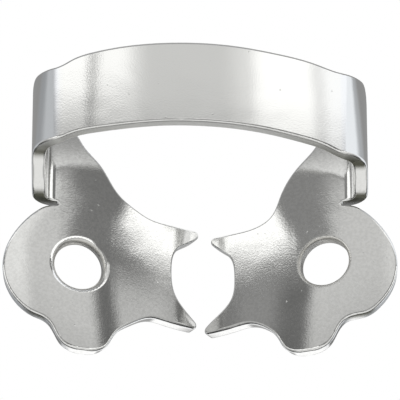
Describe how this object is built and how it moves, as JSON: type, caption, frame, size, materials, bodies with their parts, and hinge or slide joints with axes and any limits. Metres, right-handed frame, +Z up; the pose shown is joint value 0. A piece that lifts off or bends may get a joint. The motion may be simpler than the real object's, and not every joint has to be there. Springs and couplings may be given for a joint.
{
  "type": "rubber dam clamp",
  "caption": "Winged rubber dam clamp of bent spring steel: a bow joins jaw plates that have pointed prongs, forceps holes and rounded wings, to hold a dental dam on a tooth.",
  "frame": {"origin": "middle of the bounding box on the plane the clamp rests on", "axes": "X from the left jaw to the right jaw, Y from the cheek side wings towards the far side where the bow lies, Z up from the table it rests on"},
  "size_m": [0.0302, 0.0228, 0.0127],
  "materials": {
    "steel": "tumbled and polished"
  },
  "bodies": {
    "root": {"clamp": "steel"}
  },
  "joints": []
}
